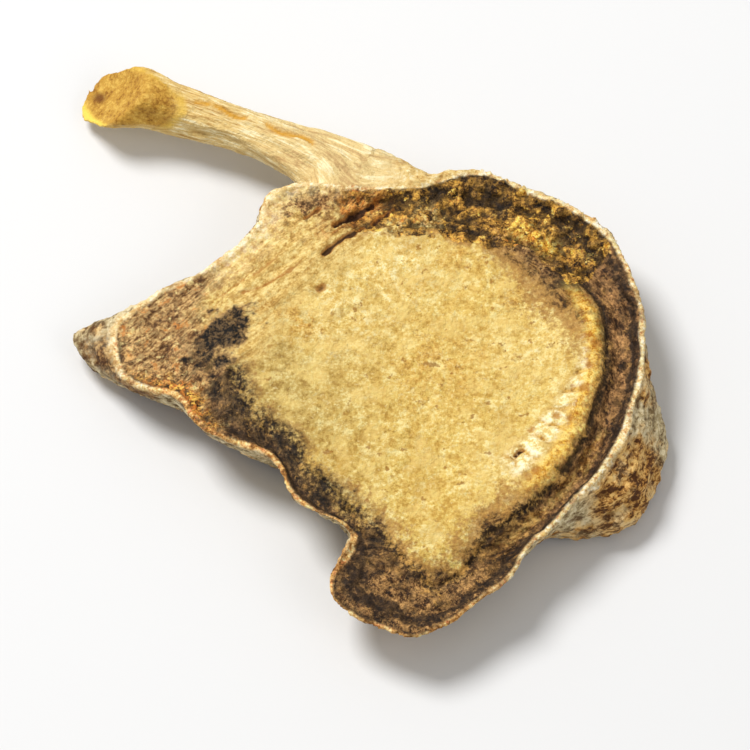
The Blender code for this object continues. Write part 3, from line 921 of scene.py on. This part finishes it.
def crumbTint(n, warmShare, warm):
    crumbs = n.half(n.tint("crumb", 1200, 1.7), n.tint("crumb", 2900, 1.9))
    # Painted shade: the crumbs are darker where the relief sinks, in the gaps between them.
    crumbs = n.flecked(crumbs, n.field("relief"), -0.06, -0.20, 0.85, tints["crumb"][0])
    crumbs = n.flecked(crumbs, n.shifted(n.blot, n.speck, 0.7), 0.60, 0.70, 0.75, n.tint("gold", 2600, 1.2))
    crumbs = n.mix(n.spread("creamShare", n.patches, 0.36, 0.50), crumbs, n.tint("fibre", 1900, 1.3))
    crumbs = n.mix(n.spread("darkShare", n.patches, 0.34, 0.50, 0.2, 0.8), crumbs, n.tint("ink", 1900, 1.8))
    crumbs = n.mix(warmShare, crumbs, warm)
    nearRim = n.step(n.shifted(n.field("rimDepth"), n.blot, 2.6), 1.7, 0.3, 0.0, 0.35)
    crumbs = n.mix(n.times(nearRim, n.step(n.x, -0.004, 0.001)), crumbs, tints["ink"][0])
    return n.mix(n.spread("goldenShare", n.grain, 0.36, 0.52), crumbs, n.tint("gold", 2200, 1.2))


def fibreTint(n, warmShare, warm):
    fibre = n.mix(0.55, n.tint("fibre", 1.0, 1.0, n.fibred), n.tint("fibre", 1700, 1.3))
    fibre = n.flecked(fibre, n.field("rimDepth"), 2.2, 0.4, 0.45, n.tint("rim", 1500, 1.0))
    mauveShare = n.spread("mauveShare", n.shifted(n.blot, n.grain, 0.9), 0.40, 0.56)
    fibre = n.mix(mauveShare, fibre, n.tint("mauve", 1700, 1.6))
    return n.mix(n.times(warmShare, 0.6), fibre, warm)


def tailTint(n):
    tail = n.half(n.tint("tail", 1.0, 1.6, n.fibred), n.tint("tail", 1400, 2.0))
    tail = n.flecked(tail, n.blot, 0.50, 0.60, 0.85, n.tint("mauve", 1500, 1.8))
    tail = n.flecked(tail, n.spotted, 0.57, 0.65, 0.6, finish["orange"])
    tail = n.flecked(tail, n.noise(n.place, 1750), 0.59, 0.68, 0.6, tints["fibre"][2])
    low = n.flecked(n.tint("crumb", 1900, 1.6), n.grain, 0.50, 0.60, 1.0, finish["orange"])
    return n.mix(n.field("tailShade"), tail, low)


def withMarks(n, face):  # gold inside the ring's edge, pits in the comb and the stain at the upper right
    gold = n.half(n.tint("gold", 1100, 1.4), n.tint("gold", 2600, 1.6))
    face = n.mix(n.spread("goldShare", n.patches, 0.36, 0.50, 0.6, 1.0), face, gold)
    pits = n.shifted(n.field("pitShare"), n.grain, 1.1, n.blot, 1.1)
    pitShare = n.times(n.step(pits, 0.15, 0.85, 0.0, 0.75), n.step(n.field("pitShare"), 0.0, 0.4))
    face = n.mix(pitShare, face, finish["pit"])
    stainShare = n.spread("stainShare", n.shifted(n.blot, n.speck, 0.8), 0.40, 0.58, 0.0, 0.8)
    return n.mix(stainShare, face, n.tint("mauve", 1700, 1.4))


def withBlotchAndCracks(n, face):
    blotch = n.shifted(n.field("blotchShare"), n.blot, 1.1, n.speck, 1.3)
    there = n.step(n.field("blotchShare"), 0.0, 0.3)
    halo = n.times(n.times(n.step(blotch, 0.15, 0.75), there), 0.85)
    face = n.mix(halo, face, n.tint("mauve", 1500, 1.8))
    face = n.mix(n.times(n.step(blotch, 0.45, 1.0), there), face, n.tint("ink", 1500, 1.9))
    face = n.flecked(face, n.field("crackShare"), 0.02, 0.40, 0.75, finish["halo"])
    return n.flecked(face, n.field("crackShare"), 0.40, 0.90, 0.95, finish["crack"])


# The pale bark seen as a thin rim, more orange along the front left; its pale cream is partly a painted
# highlight along the cut edge.
def rimTint(n):
    orange = n.times(n.step(n.scaled(n.x, 0.35, n.y), 0.0012, -0.0015), n.step(n.x, 0.008, 0.003))
    orange = n.times(orange, n.step(n.x, -0.0162, -0.0150, 0.25, 1.0))
    return n.mix(orange, n.tint("rim", 1500, 1.0), n.tint("rimOrange", 1500, 1.2))


def withRimAndPowder(n, face, rim):
    inRim = n.times(n.step(n.rimDepth, 0.66, 0.34), n.step(n.field("streakShare"), 0.0, 0.5, 0.75, 0.0))
    inRim = n.times(inRim, n.step(n.shifted(n.blot, n.cloud, 0.8), 0.38, 0.58, 0.1, 1.0))
    inRim = n.times(inRim, n.step(n.field("crumbShare"), 0.1, 0.6, 1.0, 0.4))
    face = n.mix(inRim, face, finish["cambium"])
    # The thin pale band at the face's edge: the bark's own pale rim, partly a painted highlight.
    paleRimAndHighlight = n.times(n.step(n.rimDepth, 0.40, 0.18), n.step(n.cloud, 0.34, 0.48, 0.6, 1.0))
    face = n.mix(paleRimAndHighlight, face, rim)
    powder = n.step(n.shifted(n.speck, n.blot, 0.6), 0.30, 0.70)
    powderShare = n.step(n.field("coreDepth"), 0.8, -0.4, 0.06, 0.55)
    powderShare = n.times(powderShare, n.step(n.field("streakShare"), 0.0, 0.8, 1.0, 0.35))
    return n.mix(powderShare, face, powder, "OVERLAY")


def faceTint(n, rim):
    warmShare = n.spread("warmShare", n.patches, 0.38, 0.54, 0.2, 0.95)
    warm = n.flecked(n.tint("knob", 1.0, 1.6, n.fibred), n.grain, 0.44, 0.58, 0.55, finish["orange"])
    outside = ringShare(n)
    face = n.mix(outside, coreTint(n), ringTint(n))
    edge = n.times(outside, n.sum("SUBTRACT", 1.0, outside))
    face = n.mix(n.times(edge, n.step(n.shaded, 0.0, 1.0, 2.6, 0.6)), face, finish["warm"])
    crumbs = n.shifted(n.field("crumbShare"), n.blot, 0.9, n.speck, 0.9)
    crumbShare = n.times(n.step(crumbs, 0.36, 0.62), n.step(n.field("crumbShare"), 0.0, 0.2))
    face = n.mix(crumbShare, face, crumbTint(n, warmShare, warm))
    face = withMarks(n, face)
    face = n.mix(n.field("streakShare"), face, fibreTint(n, warmShare, warm))
    face = n.mix(n.field("tailShare"), face, tailTint(n))
    return withRimAndPowder(n, withBlotchAndCracks(n, face), rim)


def barkTint(n, rim):
    barkPlace = n.turned(n.place, finish["barkSize"])
    knob = n.tint("knob", 1.0, 1.5, barkPlace)
    bark = n.tint("bark", 1.0, 1.2, barkPlace)
    bark = n.flecked(bark, n.shifted(n.cloud, n.blot, 0.5), 0.44, 0.64, 1.0, knob)
    knobShare = n.spread("knobShare", n.shifted(n.cloud, n.grain, 0.5), 0.36, 0.52, 0.55, 1.0)
    bark = n.mix(knobShare, bark, knob)
    bark = n.mix(n.spread("endBarkShare", n.blot, 0.46, 0.56), bark, tints["knob"][0])
    endTop = n.spread("endBarkShare", n.shifted(n.rimDepth, n.blot, 1.6), -1.7, -0.7, 0.0, 0.85)
    bark = n.mix(endTop, bark, n.tint("mauve", 1400, 1.7))
    # Painted shade: the bark is darker in the hollows of its relief.
    bark = n.flecked(bark, n.field("relief"), 0.0, -0.14, 0.7, tints["knob"][0])
    # Painted highlight: the bark's top just below the rim takes the rim's pale tint.
    return n.flecked(bark, n.shifted(n.rimDepth, n.blot, 0.6), -0.42, -0.10, 0.9, rim)


def sideRootTint(n):
    rooted = n.turned(n.field("sideRootPlace", "Vector"), finish["sideRootSize"])
    root = n.tint("sideRoot", 1.0, 0.85, rooted)
    root = n.flecked(root, n.shifted(n.x, n.blot, 0.006), -0.014, -0.006, 0.2, tints["sideRoot"][2])
    root = n.mix(n.times(n.field("dashShare"), 0.9), root, finish["dash"])
    tip = n.flecked(n.tint("tip", 1500, 0.8), n.x, -0.0150, -0.0130, 0.6, root)
    lowLeft = n.step(n.sum("ADD", n.x, n.y), 0.0052, 0.0022, 0.35, 1.0)
    tipRim = n.step(n.shifted(n.field("tipEdge"), n.blot, 0.15), 0.80, 0.96)
    tip = n.mix(n.times(tipRim, lowLeft), tip, finish["yellow"])
    tip = n.mix(n.times(n.field("tipSpotShare"), 0.9), tip, finish["spot"])
    return n.mix(n.field("tipShare"), root, tip)


def newMaterial(name):
    material = bpy.data.materials.new(name)
    material.use_nodes = True
    return material, material.node_tree.nodes["Principled BSDF"]


def rootFinish():
    material, shader = newMaterial("driedRootFinish")
    n = rootNodes(material.node_tree)
    rim = rimTint(n)
    colour = n.mix(n.field("faceShare"), barkTint(n, rim), faceTint(n, rim))
    colour = n.mix(n.field("bandShare"), colour, n.tint("sideRoot", 1500, 0.8))
    colour = n.mix(n.field("sideRootShare"), colour, sideRootTint(n))
    n.feed(shader.inputs["Base Color"], colour)
    n.feed(shader.inputs["Roughness"], n.step(n.grain, 0.3, 0.7, *finish["roughness"]))
    n.feed(shader.inputs["Specular IOR Level"], finish["specular"])

    height = n.scaled(n.noise(n.place, 5200), 0.6, n.grain)
    height = n.scaled(n.blot, 1.4, height)
    bump = n.add("ShaderNodeBump", ("Strength", "Distance", "Height"), *finish["bump"], height)
    n.feed(shader.inputs["Normal"], bump.outputs["Normal"])
    return material


rootSlice = makeSlice(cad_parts["root_slice"])
rootSlice.data.materials.clear()
rootSlice.data.materials.append(rootFinish())
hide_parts("root_slice")
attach(rootSlice, "root")
print("slice finished")


# The floor, the lights and the camera, in metres.
studio = {
    "floorSize": 1.2,
    "floorGap": 0.00001,
    "floorTint": (0.77, 0.77, 0.77, 1.0),
    "floorRoughness": 0.9,
    "floorSpecular": 0.1,
    "keyLight": ((-0.22, 0.18, 0.42), 0.22, 2.4),  # place, size and power
    "fillLight": ((0.30, -0.25, 0.35), 0.30, 0.35),
    "worldTint": (1.0, 0.99, 0.97, 1.0),
    "worldLight": 0.42,
    "cameraTarget": (-0.00224, 0.00065, 0.0045),
    "cameraDistance": 1.5,
    "cameraElevation": 60,
    "cameraReach": (0.01, 5.0),
    "sensorWidth": 36.0,
    "viewWidth": 0.0448,
}


def makeFloor(values):
    mesh = bpy.data.meshes.new("studioFloor")
    bm = bmesh.new()
    bmesh.ops.create_grid(bm, x_segments=1, y_segments=1, size=values["floorSize"] / 2)
    bmesh.ops.translate(bm, verts=bm.verts, vec=(0.0, 0.0, -values["floorGap"]))
    bm.to_mesh(mesh)
    bm.free()
    material, shader = newMaterial("paleFloor")
    shader.inputs["Base Color"].default_value = values["floorTint"]
    shader.inputs["Roughness"].default_value = values["floorRoughness"]
    shader.inputs["Specular IOR Level"].default_value = values["floorSpecular"]
    mesh.materials.append(material)
    newObject("studioFloor", mesh)


def addLight(name, values):
    place, size, power = values[name]
    light = bpy.data.lights.new(name, "AREA")
    light.shape = "DISK"
    light.size = size
    light.energy = power
    lamp = newObject(name, light)
    lamp.location = place
    towards = Vector(values["cameraTarget"]) - Vector(place)
    lamp.rotation_euler = towards.to_track_quat("-Z", "Y").to_euler()


def makeCamera(values):
    camera = bpy.data.cameras.new("photoCamera")
    camera.sensor_width = values["sensorWidth"]
    camera.lens = camera.sensor_width * values["cameraDistance"] / values["viewWidth"]
    camera.clip_start, camera.clip_end = values["cameraReach"]
    holder = newObject("photoCamera", camera)
    tilt = math.radians(values["cameraElevation"])
    away = Vector((0.0, -math.cos(tilt), math.sin(tilt)))
    holder.location = Vector(values["cameraTarget"]) + away * values["cameraDistance"]
    holder.rotation_euler = (-away).to_track_quat("-Z", "Y").to_euler()
    bpy.context.scene.camera = holder


def makeWorld(values):
    world = bpy.data.worlds.new("softWorld")
    world.use_nodes = True
    backdrop = world.node_tree.nodes["Background"]
    backdrop.inputs["Color"].default_value = values["worldTint"]
    backdrop.inputs["Strength"].default_value = values["worldLight"]
    bpy.context.scene.world = world


makeFloor(studio)
addLight("keyLight", studio)
addLight("fillLight", studio)
makeWorld(studio)
makeCamera(studio)
bpy.context.scene.view_settings.view_transform = "Standard"
print("studio ready")
